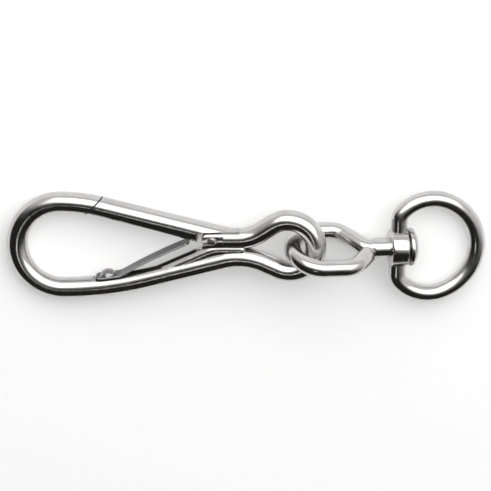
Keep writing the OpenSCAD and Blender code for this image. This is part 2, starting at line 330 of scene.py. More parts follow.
@dataclass(frozen=True)
class TemperedSteel(Finish):
    """Hard-rolled spring steel, tempered dark and painted darker still as shade on its face, with fine
    grinding lines and bright cut edges that also stand as a painted highlight.
    """

    # Dark tones of the tempered face, darkened further as painted shade
    light: Triple = (0.09, 0.089, 0.091)
    dark: Triple = (0.035, 0.035, 0.038)
    # Bright steel of the cut edges, which is also a painted highlight
    sheared_edge_highlight: Triple = (0.80, 0.79, 0.78)
    ground: Pattern = Pattern((0.12, 6.0, 6.0), 1.6, 4.0, 0.65)
    cloud: Pattern = Pattern(EVEN, 0.5, 3.0, 0.5, (0.3, 0.75))
    dark_by: Triple = (0.45, 0.35, 0.15)
    half_wide: float = 2.4
    rim: Pair = (0.16, 0.06)
    ground_high: float = 0.004
    gloss: float = 0.22
    spread: float = 0.16
    edge: float = 0.05

    def inputs(self, n: Nodes) -> Inputs:
        """The spring steel, bright within the rim of its two long edges, which is bare steel and a painted
        highlight.

        Args:
            n: The material's tree.

        Returns:
            A value or a link for each socket.
        """
        grain = n.attribute(GRAIN, "Vector")
        ground, cloud = n.pattern(grain, self.ground), n.pattern(grain, self.cloud)
        by_cloud, by_ground, base = self.dark_by
        face = n.mix(by_cloud * cloud + by_ground * ground + base, self.light, self.dark)
        across = n.node("ShaderNodeSeparateXYZ", {}, {0: grain}, "Z")
        rim = across.math("ABSOLUTE", across).step(self.half_wide - self.rim[0], self.half_wide - self.rim[1])
        edge = n.node("ShaderNodeBevel", {"samples": 4}, {"Radius": self.edge * MM})
        height = self.ground_high * ground
        return {
            # Painted highlight: the rim of both long edges is mixed to the bright tone
            "Base Color": n.mix(rim, face, self.sheared_edge_highlight),
            "Metallic": 1.0,
            "Roughness": self.gloss + self.spread * ground,
            "Normal": n.node("ShaderNodeBump", {}, {"Distance": MM, "Height": height, "Normal": edge}),
        }


@dataclass(frozen=True)
class PeenedSteel(Finish):
    """Plain steel of the pin and rivet, its heads spread by small hammer blows."""

    light: Triple = (0.42, 0.415, 0.405)
    dark: Triple = (0.15, 0.145, 0.14)
    worn: Pattern = Pattern(EVEN, 1.8, 4.0, 0.65)
    dark_from: Pair = (0.4, 0.75)
    blows: float = 1.5
    soft: float = 0.6
    blow_deep: float = 0.10
    worn_deep: float = 0.01
    gloss: float = 0.2
    spread: float = 0.22

    def inputs(self, n: Nodes) -> Inputs:
        """The steel, dented all over by the hammer.

        Args:
            n: The material's tree.

        Returns:
            A value or a link for each socket.
        """
        place = n.place()
        sizes = {"Vector": place, "Scale": self.blows, "Smoothness": self.soft}
        blows = n.node("ShaderNodeTexVoronoi", {"feature": "SMOOTH_F1"}, sizes)
        worn = n.pattern(place, self.worn)
        height = self.blow_deep * blows + self.worn_deep * worn
        return {
            "Base Color": n.mix(worn.step(*self.dark_from), self.light, self.dark),
            "Metallic": 1.0,
            "Roughness": self.gloss + self.spread * worn,
            "Normal": n.node("ShaderNodeBump", {}, {"Distance": MM, "Height": height}),
        }


@dataclass(frozen=True)
class PaleTable(Finish):
    """Matt white table that keeps the object's shadow, lifted to white for what looks at it."""

    colour: Triple = (0.9, 0.9, 0.9)
    rough: float = 0.9
    sheen: float = 0.1
    lift: float = 0.27

    def inputs(self, n: Nodes) -> Inputs:
        """The table, its lift seen by the camera and by what reflects it.

        Args:
            n: The material's tree.

        Returns:
            A value or a link for each socket.
        """
        seen = n.node("ShaderNodeLightPath", output="Is Camera Ray")
        looked_at = seen + n.beside(seen, "Is Glossy Ray") + n.beside(seen, "Is Transmission Ray")
        return {
            "Base Color": self.colour,
            "Roughness": self.rough,
            "Specular IOR Level": self.sheen,
            "Emission Color": WHITE,
            "Emission Strength": looked_at * self.lift,
        }


# ---------------------------------------------------------------- making shapes


class Join(Enum):
    """How one solid meets another."""

    ADD = "UNION"
    CUT = "DIFFERENCE"


@dataclass(frozen=True)
class Route:
    """A flat run of wire: (radius, degrees) bends, left positive, and (0, length) straights."""

    start: Pair
    heading: float
    steps: tuple[Pair, ...]
    closed: bool = False

    def trace(self, pitch: float) -> np.ndarray:
        """Points along the run.

        Args:
            pitch: Greatest distance between points.

        Returns:
            Rows of x, y, heading in radians and distance run.
        """
        rows: list[tuple[float, float, float, float]] = []
        at, heading, run = np.array(self.start, float), math.radians(self.heading), 0.0
        for radius, amount in self.steps:
            length = amount if radius == 0 else abs(radius) * math.radians(abs(amount))
            count = max(1, math.ceil(length / pitch))
            here, facing = at, heading
            for i in range(count + 1):
                share = i / count
                if radius == 0:
                    here = at + share * length * np.array([math.cos(heading), math.sin(heading)])
                else:
                    facing = heading + math.radians(amount) * share
                    turned = [math.sin(facing) - math.sin(heading), math.cos(heading) - math.cos(facing)]
                    here = at + radius * np.array(turned)
                if i < count:
                    rows.append((here[0], here[1], facing, run + share * length))
            at, heading, run = here, facing, run + length
        if not self.closed:
            rows.append((at[0], at[1], heading, run))
        return np.array(rows)


class WireTree:
    """A Geometry Nodes tree that runs a round section along a line of points."""

    def __init__(self) -> None:
        """Builds the tree, with the wire's radius, its sides and its finish as inputs."""
        self.tree = bpy.data.node_groups.new("bent_wire", "GeometryNodeTree")
        n = Nodes(self.tree)
        face = self.tree.interface
        face.new_socket("Line", in_out="INPUT", socket_type="NodeSocketGeometry")
        kinds = {"Wire radius": "NodeSocketFloat", "Sides": "NodeSocketInt", "Finish": "NodeSocketMaterial"}
        self.named = {
            name: face.new_socket(name, in_out="INPUT", socket_type=kind).identifier
            for name, kind in kinds.items()
        }
        face.new_socket("Wire", in_out="OUTPUT", socket_type="NodeSocketGeometry")
        line = n.node("NodeGroupInput")
        radius, sides, finish = (n.beside(line, name) for name in kinds)
        swell = n.node("GeometryNodeInputNamedAttribute", {"data_type": "FLOAT"}, {"Name": SWELL})
        curve = n.node("GeometryNodeMeshToCurve", {}, {0: line})
        sizes = {"Resolution": sides, "Radius": radius}
        section = n.node("GeometryNodeCurvePrimitiveCircle", {"mode": "RADIUS"}, sizes)
        swept = {"Curve": curve, "Profile Curve": section, "Scale": swell, "Fill Caps": True}
        wire = n.node("GeometryNodeCurveToMesh", {}, swept)
        wire = n.node("GeometryNodeRealizeInstances", {}, {0: wire})
        wire = n.node("GeometryNodeSetMaterial", {}, {"Geometry": wire, "Material": finish})
        n.node("NodeGroupOutput", {}, {0: wire})

    def run(self, points: np.ndarray, swell: np.ndarray, closed: bool, radius: float) -> bpy.types.Mesh:
        """Makes one wire.

        Args:
            points: The wire's middle line, in mm.
            swell: The share of the radius at each point.
            closed: Whether the line joins up.
            radius: The wire's radius, in mm.

        Returns:
            A closed mesh that faces outward.
        """
        count = len(points)
        edges = [(i, i + 1) for i in range(count - 1)] + ([(count - 1, 0)] if closed else [])
        line = bpy.data.meshes.new("line")
        line.from_pydata([tuple(p) for p in points], edges, [])
        line.attributes.new(SWELL, "FLOAT", "POINT").data.foreach_set("value", np.asarray(swell, np.float32))
        carrier = bench.put(line)
        modifier = carrier.modifiers.new("wire", "NODES")
        modifier.node_group = self.tree
        modifier[self.named["Wire radius"]] = float(radius)
        modifier[self.named["Sides"]] = WIRE_SIDES
        modifier[self.named["Finish"]] = bench.blank
        return bench.take(carrier)


class Bench:
    """Where shapes are made, joined and cut before they become pieces."""

    def __init__(self) -> None:
        """Starts with a blank finish for work in hand."""
        self.blank = bpy.data.materials.new("work_in_hand")

    def put(self, mesh: bpy.types.Mesh) -> bpy.types.Object:
        """Puts a mesh on the bench as an object.

        Args:
            mesh: The mesh.

        Returns:
            Its object.
        """
        made = bpy.data.objects.new(mesh.name, mesh)
        bpy.context.scene.collection.objects.link(made)
        return made

    def take(self, made: bpy.types.Object) -> bpy.types.Mesh:
        """Takes an object off the bench as a plain mesh, its modifiers applied and its faces outward.

        Args:
            made: The object with its modifiers.

        Returns:
            The finished mesh.
        """
        bpy.context.view_layer.update()
        graph = bpy.context.evaluated_depsgraph_get()
        mesh, old = bpy.data.meshes.new_from_object(made.evaluated_get(graph)), made.data
        bpy.data.objects.remove(made)
        if old.users == 0:
            bpy.data.meshes.remove(old)
        face_out(mesh, weld=True)
        return mesh

    def join(self, base: bpy.types.Mesh, tool: bpy.types.Mesh, how: Join) -> bpy.types.Mesh:
        """Adds one solid to another or cuts it away.

        Args:
            base: The solid that is kept.
            tool: The solid that is added or cut away.
            how: Which of the two.

        Returns:
            The result.
        """
        body, other = self.put(base), self.put(tool)
        modifier = body.modifiers.new("join", "BOOLEAN")
        modifier.operation, modifier.object, modifier.solver = how.value, other, "MANIFOLD"
        result = self.take(body)
        bpy.data.objects.remove(other)
        return result

    def cut(self, base: bpy.types.Mesh, tools: Iterable[bpy.types.Mesh]) -> bpy.types.Mesh:
        """Cuts several solids away in turn.

        Args:
            base: The solid that is kept.
            tools: The solids that are cut away.

        Returns:
            The result.
        """
        for tool in tools:
            base = self.join(base, tool, Join.CUT)
        return base


bench: Bench
wires: WireTree


def face_out(mesh: bpy.types.Mesh, weld: bool = False) -> None:
    """Turns a mesh's faces outward.

    Args:
        mesh: The mesh.
        weld: Whether its doubled points are merged first.
    """
    work = bmesh.new()
    work.from_mesh(mesh)
    if weld:
        bmesh.ops.remove_doubles(work, verts=work.verts, dist=WELD)
    bmesh.ops.recalc_face_normals(work, faces=work.faces)
    work.to_mesh(mesh)
    work.free()


def mesh_of(points: Iterable[Sequence[float]], faces: Iterable[Sequence[int]]) -> bpy.types.Mesh:
    """Makes a mesh from points and faces, its faces outward.

    Args:
        points: The corners, in mm.
        faces: Corner numbers of each face.

    Returns:
        The mesh.
    """
    mesh = bpy.data.meshes.new("part")
    mesh.from_pydata([tuple(p) for p in points], [], [tuple(f) for f in faces])
    face_out(mesh)
    return mesh


def brick(low: Triple, high: Triple, at: Pair = (0.0, 0.0), turn: float = 0.0) -> bpy.types.Mesh:
    """A block, turned about Z.

    Args:
        low: Lowest corner before the turn.
        high: Highest corner before the turn.
        at: Where its own origin goes.
        turn: The turn, in degrees.

    Returns:
        The block.
    """
    points = [Vector(point) for point in product(*zip(low, high))]
    place = Matrix.Translation((*at, 0.0)) @ Matrix.Rotation(math.radians(turn), 4, "Z")
    faces = [(0, 1, 3, 2), (4, 6, 7, 5), (0, 4, 5, 1), (2, 3, 7, 6), (0, 2, 6, 4), (1, 5, 7, 3)]
    return mesh_of([place @ point for point in points], faces)


def prism(outline: Sequence[Pair], half: float) -> bpy.types.Mesh:
    """A flat plate with the given outline.

    Args:
        outline: The corners in order.
        half: Half its thickness.

    Returns:
        The plate.
    """
    count = len(outline)
    points = [(x, y, z) for z in (-half, half) for x, y in outline]
    sides = [(i, (i + 1) % count, count + (i + 1) % count, count + i) for i in range(count)]
    return mesh_of(points, [*sides, range(count)[::-1], range(count, 2 * count)])


def rounded(corners: Sequence[Triple], steps: int = 6) -> list[Pair]:
    """A line whose corners are filleted.

    Args:
        corners: (x, y, fillet radius) of each corner.
        steps: Points of each fillet.

    Returns:
        The line's points.
    """
    out: list[Pair] = []
    for i, (x, y, radius) in enumerate(corners):
        if radius <= 0 or i in (0, len(corners) - 1):
            out.append((x, y))
            continue
        here = Vector((x, y))
        back = (Vector(corners[i - 1][:2]) - here).normalized()
        on = (Vector(corners[i + 1][:2]) - here).normalized()
        half = back.angle(on) / 2
        reach = radius / math.tan(half)
        centre = here + (back + on).normalized() * radius / math.sin(half)
        a, b = here + back * reach - centre, here + on * reach - centre
        sweep = a.angle_signed(b)
        for k in range(steps + 1):
            c, s = math.cos(-sweep * k / steps), math.sin(-sweep * k / steps)
            out.append((centre.x + a.x * c - a.y * s, centre.y + a.x * s + a.y * c))
    return out


def lathe(profile: Sequence[Pair], sides: int, place: Matrix) -> bpy.types.Mesh:
    """A solid turned about its own Z axis.

    Args:
        profile: (radius, height) points, from one end on the axis to the other.
        sides: Points round the axis.
        place: Where it goes.

    Returns:
        The turned solid.
    """
    points: list[Vector] = []
    loops: list[list[int]] = []
    for radius, height in profile:
        if radius < WELD:
            points.append(Vector((0.0, 0.0, height)))
            loops.append([len(points) - 1] * sides)
            continue
        loops.append(list(range(len(points), len(points) + sides)))
        for k in range(sides):
            angle = 2 * math.pi * k / sides
            points.append(Vector((radius * math.cos(angle), radius * math.sin(angle), height)))
    faces: list[tuple[int, ...]] = []
    for low, high in zip(loops, loops[1:]):
        for k in range(sides):
            j = (k + 1) % sides
            face = tuple(dict.fromkeys((low[k], low[j], high[j], high[k])))
            if len(face) > 2:
                faces.append(face)
    return mesh_of([place @ point for point in points], faces)


def drill(radius: float, place: Matrix, sides: int = WIRE_SIDES) -> bpy.types.Mesh:
    """A drill along its own Z axis."""
    return lathe([(0, -CLEAR), (radius, -CLEAR), (radius, CLEAR), (0, CLEAR)], sides, place)


def wire(
    route: Route, radius: float, pitch: float = 0.5, dome: bool = False, blunt: float = 0.0
) -> bpy.types.Mesh:
    """A round wire along a flat run.

    Args:
        route: The run.
        radius: The wire's radius.
        pitch: Distance between rings.
        dome: Whether the far end runs on into a round nose.
        blunt: Rounding of the near end's edge.

    Returns:
        The wire as a closed mesh.
    """
    rows = route.trace(pitch)
    points = np.c_[rows[:, 0], rows[:, 1], np.zeros(len(rows))]
    swell = np.ones(len(rows))
    near, far = (np.array([math.cos(rows[i, 2]), math.sin(rows[i, 2]), 0.0]) for i in (0, -1))
    if blunt > 0:
        angles = np.linspace(0.0, math.pi / 2, 7)
        kept = rows[:, 3] > blunt + 0.1
        points = np.vstack([points[0] + blunt * (1 - np.cos(angles))[:, None] * near, points[kept]])
        swell = np.r_[1 - blunt / radius * (1 - np.sin(angles)), swell[kept]]
    if dome:
        angles = np.linspace(0.0, 0.97 * math.pi / 2, 14)[1:]
        points = np.vstack([points, points[-1] + radius * np.sin(angles)[:, None] * far])
        swell = np.r_[swell, np.cos(angles)]
    return wires.run(points, swell, route.closed, radius)


def stamp(mesh: bpy.types.Mesh, places: Iterable[Sequence[float]]) -> None:
    """Writes where each point of a mesh lies in the grain."""
    flat = np.array([tuple(p) for p in places], np.float32).ravel()
    mesh.attributes.new(GRAIN, "FLOAT_VECTOR", "POINT").data.foreach_set("vector", flat)


def comb(mesh: bpy.types.Mesh, route: Route) -> None:
    """Gives each point its place along and across its wire, for the grain.

    Args:
        mesh: The piece, still in its flat frame.
        route: The wire that it is made of.
    """
    rows = route.trace(GRAIN_PITCH)
    tree = KDTree(len(rows))
    for i, (x, y, _, _) in enumerate(rows):
        tree.insert((x, y, 0.0), i)
    tree.balance()
    places: list[Triple] = []
    for vertex in mesh.vertices:
        x, y, z = vertex.co
        near = rows[tree.find((x, y, 0.0))[1]]
        dx, dy, c, s = x - near[0], y - near[1], math.cos(near[2]), math.sin(near[2])
        places.append((near[3] + dx * c + dy * s, dy * c - dx * s, z))
    stamp(mesh, places)


def bare(mesh: bpy.types.Mesh, test: Callable[[Vector, Vector], bool]) -> None:
    """Marks the cut faces of the joints, which get painted shade.

    Args:
        mesh: The piece, still in its flat frame.
        test: Whether a face with this middle and this normal is one of them.
    """
    marks = np.array([float(test(f.center, f.normal)) for f in mesh.polygons], np.float32)
    mesh.attributes.new(JOINT_SHADE, "FLOAT", "FACE").data.foreach_set("value", marks)


def piece(
    name: str, mesh: bpy.types.Mesh, place: Matrix, finish: bpy.types.Material
) -> bpy.types.Object:
    """Turns a mesh in mm into a finished piece in the shared frame.

    Args:
        name: The piece's name.
        mesh: Its mesh, in its own frame.
        place: Its own frame, in mm.
        finish: Its material.

    Returns:
        The piece, its object at the origin.
    """
    mesh.name = name
    mesh.transform(Matrix.Scale(MM, 4) @ place)
    mesh.materials.clear()
    mesh.materials.append(finish)
    mesh.polygons.foreach_set("material_index", np.zeros(len(mesh.polygons), np.int32))
    mesh.shade_smooth()
    mesh.set_sharp_from_angle(angle=math.radians(CRISP))
    made = bench.put(mesh)
    made.name = name
    log.info("%s: %d faces", name, len(mesh.polygons))
    return made


# ---------------------------------------------------------------- the hook's frame


def sind(angle: float) -> float:
    """Sine of an angle in degrees."""
    return math.sin(math.radians(angle))


def cosd(angle: float) -> float:
    """Cosine of an angle in degrees."""
    return math.cos(math.radians(angle))


def tand(angle: float) -> float:
    """Tangent of an angle in degrees."""
    return math.tan(math.radians(angle))


def turned(angle: float, axis: str) -> Matrix:
    """A turn about an axis, in degrees."""
    return Matrix.Rotation(math.radians(angle), 4, axis)


def tangent_under(centre: Pair, radius: float, point: Pair, reach: float) -> float:
    """Slope of the line that lies on two circles from above.

    Args:
        centre: First circle's centre.
        radius: Its radius.
        point: Second circle's centre.
        reach: Its radius.

    Returns:
        The slope, in degrees.
    """
    dx, dy = point[0] - centre[0], point[1] - centre[1]
    return math.degrees(math.atan2(dy, dx) - math.asin((radius - reach) / math.hypot(dx, dy)))


@dataclass(frozen=True)
class HookShape:
    """Sizes that the hook, its gate and its spring share, in mm, the eye's centre at the origin."""

    wire_r: float = 2.65
    loop_r: float = 11.3
    loop_c: Pair = (-56.5, 0.25)
    nose_bend_r: float = 40.0
    leg_bend_r: float = 84.8
    nose_from_pin: float = 29.5
    scarf_angle: float = 43.0
    scarf_gap: float = 0.3
    scarf_near: float = 3.5
    eye_r: float = 6.7
    eye_entry: float = 25.0
    eye_exit: float = 32.0
    neck_r: float = 15.0
    return_r: float = 10.0
    pin: Pair = (-19.0, 2.0)
    pin_r: float = 1.0
    pin_fit: float = 0.05
    gate_offset: float = 1.08
    leg_offset: float = 6.0
    fork_top: float = 1.7
    fork_end: float = 2.42
    cheek_flat: float = 0.25
    tongue_t: float = 1.8
    tongue_wall: float = 0.75
    gate_gap: float = 0.35
    tail_lift: float = 0.55
    shoulder: float = 7.0
    shoulder_near: float = 0.4
    foot_half: float = 3.1
    foot_flat: float = 0.35
    rivet_from_pin: float = 26.0

    @cached_property
    def nose_c(self) -> Pair:
        """Centre of the nose's bend."""
        return (self.loop_c[0], self.loop_c[1] + self.loop_r - self.nose_bend_r)

    @cached_property
    def bend_c(self) -> Pair:
        """Centre of the lower leg's bend."""
        return (self.loop_c[0], self.loop_c[1] + self.leg_bend_r - self.loop_r)

    @cached_property
    def gate_slope(self) -> float:
        """Slope of the gate, in degrees."""
        return tangent_under(self.nose_c, self.nose_bend_r, self.pin, self.gate_offset)

    @cached_property
    def leg_slope(self) -> float:
        """Slope of the straight lower leg, in degrees."""
        under = (self.bend_c[0], -self.bend_c[1])
        return -tangent_under(under, self.leg_bend_r, (self.pin[0], -self.pin[1]), self.leg_offset)

    @cached_property
    def nose_end(self) -> Pair:
        """Where the nose's bend ends and the gate's straight begins."""
        r, a = self.nose_bend_r, self.gate_slope
        return (self.nose_c[0] - r * sind(a), self.nose_c[1] + r * cosd(a))

    @cached_property
    def scarf(self) -> Pair:
        """Middle of the nose joint."""
        x = self.pin[0] - self.nose_from_pin
        return (x, self.nose_c[1] + math.sqrt(self.nose_bend_r**2 - (x - self.nose_c[0]) ** 2))

    @cached_property
    def tongue_r(self) -> float:
        """Radius of the gate's tongue round the pin."""
        return self.pin_r + self.tongue_wall

    @cached_property
    def slot_half(self) -> float:
        """Half the width of the slot that the tongue moves in."""
        return self.tongue_t / 2 + self.gate_gap

    @cached_property
    def cheek(self) -> float:
        """Distance of the fork's outer flats from the hook's middle."""
        return self.wire_r - self.cheek_flat

    @cached_property
    def foot_tilt(self) -> float:
        """Slope of the spring's foot, in degrees."""
        return math.degrees(math.asin((self.pin[0] - self.rivet_from_pin - self.bend_c[0]) / self.leg_bend_r))

    @cached_property
    def seat_frame(self) -> Matrix:
        """Frame of the spring's foot: its middle on the seat, X along the leg, Y into the loop."""
        down = Matrix.Translation((0.0, self.wire_r - self.foot_flat - self.leg_bend_r, 0.0))
        return Matrix.Translation((*self.bend_c, 0.0)) @ turned(self.foot_tilt, "Z") @ down

    def gate_line(self, x: float) -> float:
        """Height of the gate's straight middle line at x."""
        return self.nose_end[1] + (x - self.nose_end[0]) * tand(self.gate_slope)

    def in_scarf(self, middle: Vector, normal: Vector) -> bool:
        """Whether a face is one of the nose joint's two ends."""
        across = Vector((-sind(self.scarf_angle), cosd(self.scarf_angle), 0.0))
        return abs(normal.dot(across)) > FACING and (middle.xy - Vector(self.scarf)).length < self.scarf_near

    def at_shoulder(self, middle: Vector, normal: Vector) -> bool:
        """Whether a face is the tail's end or the shoulder behind it."""
        return abs(normal.x) > FACING and abs(middle.x - self.pin[0] - self.shoulder) < self.shoulder_near

    @cached_property
    def body_run(self) -> Route:
        """The hook's wire, from under the gate round the loop and the eye to the fork.

        Returns:
            The run.
        """
        up, down = tand(self.leg_slope), tand(-self.eye_entry)
        leg_x = self.bend_c[0] + self.leg_bend_r * sind(self.leg_slope)
        leg = (leg_x, self.bend_c[1] - self.leg_bend_r * cosd(self.leg_slope))
        eye_in = (-self.eye_r * sind(self.eye_entry), -self.eye_r * cosd(self.eye_entry))
        eye_out = (-self.eye_r * sind(self.eye_exit), self.eye_r * cosd(self.eye_exit))
        neck_x = (eye_in[1] - leg[1] + leg[0] * up - eye_in[0] * down) / (up - down)
        neck = (neck_x, leg[1] + (neck_x - leg[0]) * up)
        neck_t = self.neck_r * tand((self.leg_slope + self.eye_entry) / 2)
        turn_x = eye_out[0] - (eye_out[1] - self.pin[1]) / tand(self.eye_exit)
        turn_t = self.return_r * tand(self.eye_exit / 2)
        steps = (
            (self.nose_bend_r, -self.gate_slope),
            (self.loop_r, 180.0),
            (self.leg_bend_r, self.leg_slope),
            (0.0, math.dist(neck, leg) - neck_t),
            (-self.neck_r, -self.leg_slope - self.eye_entry),
            (0.0, math.dist(eye_in, neck) - neck_t),
            (self.eye_r, 180.0 + self.eye_entry + self.eye_exit),
            (0.0, math.dist(eye_out, (turn_x, self.pin[1])) - turn_t),
            (-self.return_r, -self.eye_exit),
            (0.0, turn_x - turn_t - self.pin[0] + self.fork_end),
        )
        return Route(self.nose_end, 180.0 + self.gate_slope, steps)


@dataclass(frozen=True)
class Frames:
    """Where the hook and the link lie, in mm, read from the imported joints."""

    hook: Matrix
    link: Matrix
    roll: float

    @staticmethod
    def read(joints: Sequence[dict[str, object]], shape: HookShape) -> "Frames":
        """Works the frames out from the joints.

        Args:
            joints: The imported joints.
            shape: The hook's sizes.

        Returns:
            The frames.
        """
        by = {str(j["name"]): j for j in joints}
        pivot, pin = (Vector(by[name]["pos_m"]) / MM for name in ("link_swing", "gate_hinge"))
        up = Vector(by["gate_hinge"]["axis"])
        pitch, yaw = math.acos(up.z), math.atan2(-up.y, -up.x)
        turn = Matrix.Rotation(yaw, 4, "Z") @ Matrix.Rotation(-pitch, 4, "Y")
        hook = Matrix.Translation(pin) @ turn @ Matrix.Translation((-shape.pin[0], -shape.pin[1], 0.0))
        axle = Vector(by["ring_swivel"]["axis"])
        dip, swing = math.asin(-axle.z), math.atan2(axle.y, axle.x)
        lean = Matrix.Rotation(swing, 4, "Z") @ Matrix.Rotation(dip, 4, "Y")
        normal = lean.to_3x3().transposed() @ Vector(by["link_swing"]["axis"])
        return Frames(hook, Matrix.Translation(pivot) @ lean, math.atan2(normal.y, normal.z))


# ---------------------------------------------------------------- the pieces


@dataclass(frozen=True)
class Hook:
    """The bent wire hook: loop, leg, eye, fork and the web that joins fork and leg."""

    shape: HookShape
    nose_clear: float = 12.0
    web_r: float = 2.05
    web_drop: float = 0.8
    web_back: float = 8.4
    web_blunt: float = 1.1
    web_steps: tuple[Pair, ...] = ((0.0, 6.2), (8.0, 24.0), (0.0, 14.5))
    web_clear: float = 3.9
    web_under: float = 2.2
    notch_ahead: float = 5.0
    corner_r: float = 1.6
    corner_out: float = 1.0
    corner_steps: int = 12
    cheek_low: float = 1.9
    cheek_high: float = 4.1
    cheek_long: float = 5.4
    mouth_w: float = 1.5
    mouth_long: float = 4.0
    mouth_turn: float = 14.0
    slot_under: float = 0.75
    slot_behind: float = 0.6
    slot_ahead: float = 4.5
    slot_to: float = 5.0
    wall_near: float = 0.02
    seat_over: Pair = (0.6, 1.8)
    seat_deep: float = 0.01
    seat_high: float = 6.0

    def corner(self, left: float, top: float) -> list[Pair]:
        """Outline of what is cut off the fork's upper corner.

        Args:
            left: The fork's end.
            top: The fork's top.

        Returns:
            The outline.
        """
        r, out, count = self.corner_r, self.corner_out, self.corner_steps
        angles = [180.0 - 90.0 * k / count for k in range(1, count)]
        arc = [(left + r * (1 + cosd(angle)), top - r * (1 - sind(angle))) for angle in angles]
        outside = [(left - out, top + out), (left - out, top - r), (left, top - r)]
        return [*outside, *arc, (left + r, top), (left + r, top + out)]

    def cutters(self) -> list[bpy.types.Mesh]:
        """The fork's cuts: notch, corner, flats beside the pin, mouth of the pin's seat and tongue's slot.

        Returns:
            One closed shape for each cut.
        """
        s = self.shape
        px, py = s.pin
        top, left = py + s.fork_top, px - s.fork_end
        near, far, mouth = left - self.corner_out, left + self.cheek_long, self.mouth_w / 2
        return [
            brick((left - self.notch_ahead, top, -CLEAR), (px + s.shoulder, top + CLEAR, CLEAR)),
            prism(self.corner(left, top), CLEAR),
            *(
                brick((near, py - self.cheek_low, low), (far, py + self.cheek_high, high))
                for low, high in ((s.cheek, CLEAR), (-CLEAR, -s.cheek))
            ),
            brick((-self.mouth_long, -mouth, -CLEAR), (0.0, mouth, CLEAR), s.pin, self.mouth_turn),
            brick(
                (left - self.slot_ahead, py - s.tongue_r - self.slot_under, -s.slot_half),
                (px + s.tongue_r + self.slot_behind, py + CLEAR, s.slot_half),
            ),
        ]

    def shaded_joint(self, middle: Vector, normal: Vector) -> bool:
        """Whether a face is in the nose joint, the tongue's slot or the shoulder behind the tail.

        Args:
            middle: The face's middle.
            normal: Its normal.

        Returns:
            True for a cut joint face, which gets painted shade.
        """
        s = self.shape
        on_wall = abs(normal.z) > FACING and abs(abs(middle.z) - s.slot_half) < self.wall_near
        in_slot = on_wall and middle.x < s.pin[0] + self.slot_to
        return s.in_scarf(middle, normal) or in_slot or s.at_shoulder(middle, normal)

    def build(self, frames: Frames, finish: bpy.types.Material) -> None:
        """Makes the hook's body.

        Args:
            frames: Where the hook lies.
            finish: The plating.
        """
        s = self.shape
        px, py = s.pin
        reach = self.nose_clear
        nose = brick((-reach, -reach, -CLEAR), (reach, 0.0, CLEAR), s.scarf, s.scarf_angle)
        body = bench.cut(wire(s.body_run, s.wire_r), [nose])
        low = (px - self.web_clear, py - self.web_under, -CLEAR)
        room = brick(low, (px - s.fork_end, low[1] + CLEAR, CLEAR))
        run = Route((px + self.web_back, -self.web_drop), 180.0, self.web_steps)
        body = bench.join(body, bench.cut(wire(run, self.web_r, blunt=self.web_blunt), [room]), Join.ADD)
        body = bench.cut(body, [*self.cutters(), drill(s.pin_r, Matrix.Translation((px, py, 0.0)))])
        seat = brick(
            (-s.foot_half - self.seat_over[0], -self.seat_deep, -CLEAR),
            (s.foot_half + self.seat_over[1], self.seat_high, CLEAR),
        )
        seat.transform(s.seat_frame)
        body = bench.cut(body, [seat])
        comb(body, s.body_run)
        # Painted shade on the cut faces of the nose joint, the slot and the shoulder
        bare(body, self.shaded_joint)
        made = piece("hook_wire", body, frames.hook, finish)
        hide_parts("hook_body")
        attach(made, "hook")


@dataclass(frozen=True)
class Gate:
    """The sprung gate: scarfed nose, straight wire, slotted heel, tongue and tail."""

    shape: HookShape
    heel_gap: float = 1.38
    heel_long: float = 20.0
    root_back: float = 5.0
    nose_over: float = 6.0
    nose_clear: float = 40.0
    tail_from: float = 2.0
    tongue_root: Pair = (4.0, 0.4)
    tongue_toe: Pair = (1.2, 1.25)
    tongue_top: Pair = (1.9, 0.5)
    root_over: float = 1.0

    def tongue(self, face: float, top: float) -> bpy.types.Mesh:
        """The tongue, from inside the gate's heel round the pin to the tail.

        Args:
            face: Where the heel ends.
            top: Height of the tail's underside.

        Returns:
            The tongue.
        """
        s = self.shape
        px, py = s.pin
        outline = [
            (face - self.tongue_root[0], py + self.tongue_root[1]),
            (px - self.tongue_toe[0], py - self.tongue_toe[1]),
            *[(px + s.tongue_r * cosd(a), py + s.tongue_r * sind(a)) for a in range(-120, 31, 10)],
            (px + self.tongue_top[0], top + self.tongue_top[1]),
            (face - self.tongue_root[0], top + self.root_over),
        ]
        return prism(outline, s.tongue_t / 2)

    def build(self, frames: Frames, finish: bpy.types.Material) -> None:
        """Makes the gate.

        Args:
            frames: Where the hook lies.
            finish: The plating.
        """
        s = self.shape
        px, py = s.pin
        top, face = py + s.fork_top + s.tail_lift, px - s.fork_end - self.heel_gap
        root = (px + self.root_back, s.gate_line(px + self.root_back))
        past = s.nose_end[0] - (px - s.nose_from_pin) + self.nose_over
        bend = math.degrees(math.asin(past / s.nose_bend_r))
        run = Route(root, 180.0 + s.gate_slope, ((0.0, math.dist(root, s.nose_end)), (s.nose_bend_r, bend)))
        reach = self.nose_clear
        nose = brick((-reach, -s.scarf_gap, -CLEAR), (reach, reach, CLEAR), s.scarf, s.scarf_angle)
        heel = brick((face, top - CLEAR, -CLEAR), (face + self.heel_long, top, CLEAR))
        body = bench.cut(wire(run, s.wire_r), [nose, heel])
        straight = (0.0, self.tail_from + s.shoulder - s.gate_gap)
        tail = wire(Route((px - self.tail_from, py), 0.0, (straight,)), s.wire_r)
        tail = bench.cut(tail, [brick((px - CLEAR, top - CLEAR, -CLEAR), (px + CLEAR, top, CLEAR))])
        body = bench.join(body, tail, Join.ADD)
        body = bench.join(body, self.tongue(face, top), Join.ADD)
        body = bench.cut(body, [drill(s.pin_r + s.pin_fit, Matrix.Translation((px, py, 0.0)))])
        comb(body, run)
        # Painted shade on the cut faces of the nose joint and the shoulder
        bare(body, lambda middle, normal: s.in_scarf(middle, normal) or s.at_shoulder(middle, normal))
        made = piece("gate_wire", body, frames.hook, finish)
        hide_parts("gate")
        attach(made, "gate")


